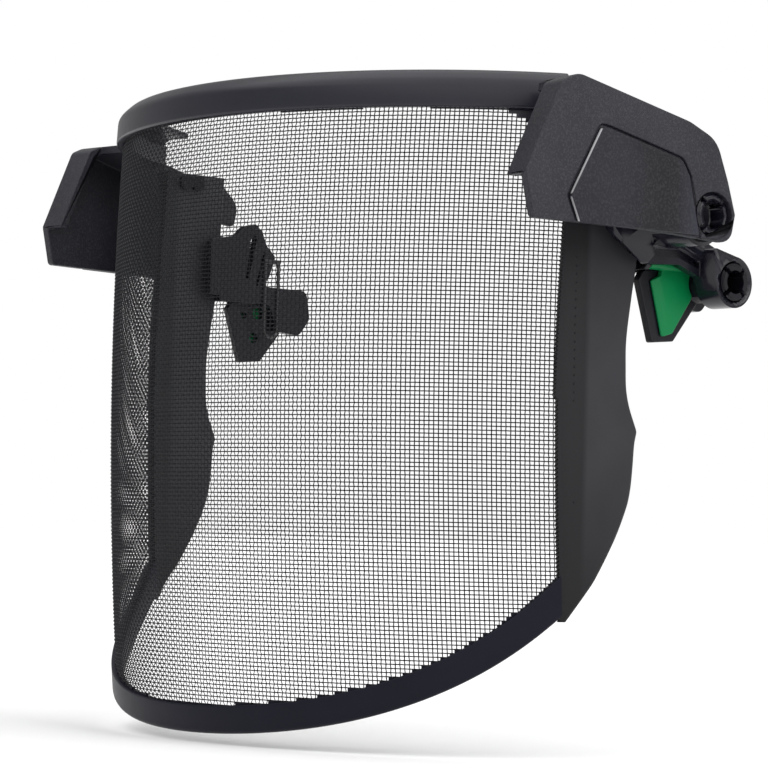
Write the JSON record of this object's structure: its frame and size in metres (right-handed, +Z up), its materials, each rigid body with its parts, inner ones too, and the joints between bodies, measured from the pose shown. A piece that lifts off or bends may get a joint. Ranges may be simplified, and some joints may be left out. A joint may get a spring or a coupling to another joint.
{
  "type": "face shield",
  "caption": "Curved wire-mesh face shield with moulded edging, side covers, two pivot arms and green-levered clips for helmet side slots.",
  "frame": {"origin": "middle of the helmet pivot axis, half way between the two slot clips", "axes": "+Z up, the mesh faces -Y, +X to the wearer's left, and the helmet pivot axis lies along X. Names with right and left are as seen from the front, so right is the +X side"},
  "size_m": [0.261, 0.1246, 0.1941],
  "materials": {
    "woven_mesh": "black coated woven mesh",
    "band_plastic": "satin moulded black",
    "soft_edging": "soft satin black",
    "cover_plastic": "fine moulded grain, black",
    "inset_plastic": "fine moulded grain, black",
    "arm_plastic": "semi-gloss black",
    "clip_plastic": "semi-gloss black",
    "green_plastic": "satin green",
    "spring_wire": "black",
    "steel": "plain"
  },
  "bodies": {
    "helmet_clips": {"slot_clip_right": "clip_plastic", "slot_clip_left": "clip_plastic", "latch_spring_right": "spring_wire", "latch_spring_left": "spring_wire", "lever_pin_right": "steel", "lever_pin_left": "steel", "latch_plate_right": "clip_plastic", "latch_plate_left": "clip_plastic"},
    "visor": {"mesh_screen": "woven_mesh", "brow_band": "band_plastic", "band_retainer": "band_plastic", "lower_edging": "soft_edging", "side_panel_right": "soft_edging", "side_panel_left": "soft_edging", "cover_right": "cover_plastic", "cover_left": "cover_plastic", "cover_inset_right": "inset_plastic", "cover_inset_left": "inset_plastic", "cover_screws": "steel"},
    "arm_right": {"arm_right": "arm_plastic", "friction_ring_upper_right": "steel", "friction_ring_lower_right": "steel"},
    "lever_right": {"release_lever_right": "green_plastic"},
    "arm_left": {"arm_left": "arm_plastic", "friction_ring_upper_left": "steel", "friction_ring_lower_left": "steel"},
    "lever_left": {"release_lever_left": "green_plastic"}
  },
  "joints": [
    {"name": "arm_left_pivot", "type": "hinge", "parent": "helmet_clips", "child": "arm_left", "pos_m": [-0.112, 0, 0], "axis": [-1, 0, 0], "range_deg": [0, 60]},
    {"name": "arm_right_pivot", "type": "hinge", "parent": "helmet_clips", "child": "arm_right", "pos_m": [0.112, 0, 0], "axis": [-1, 0, 0], "range_deg": [0, 60]},
    {"name": "visor_pivot", "type": "hinge", "parent": "arm_left", "child": "visor", "pos_m": [-0.125, -0.0222, 0.017], "axis": [-1, 0, 0], "range_deg": [0, 60]},
    {"name": "lever_right_hinge", "type": "hinge", "parent": "helmet_clips", "child": "lever_right", "pos_m": [0.10305, -0.013, 0.0048], "axis": [0, -1, 0], "range_deg": [0, 12], "stiffness_Nm_per_rad": 0.02, "springref_deg": -17.19},
    {"name": "lever_left_hinge", "type": "hinge", "parent": "helmet_clips", "child": "lever_left", "pos_m": [-0.10305, -0.013, 0.0048], "axis": [0, 1, 0], "range_deg": [0, 12], "stiffness_Nm_per_rad": 0.02, "springref_deg": -17.19}
  ],
  "couplings": [
    {"joint": "arm_right_pivot", "follows": "arm_left_pivot", "ratio": 1}
  ]
}
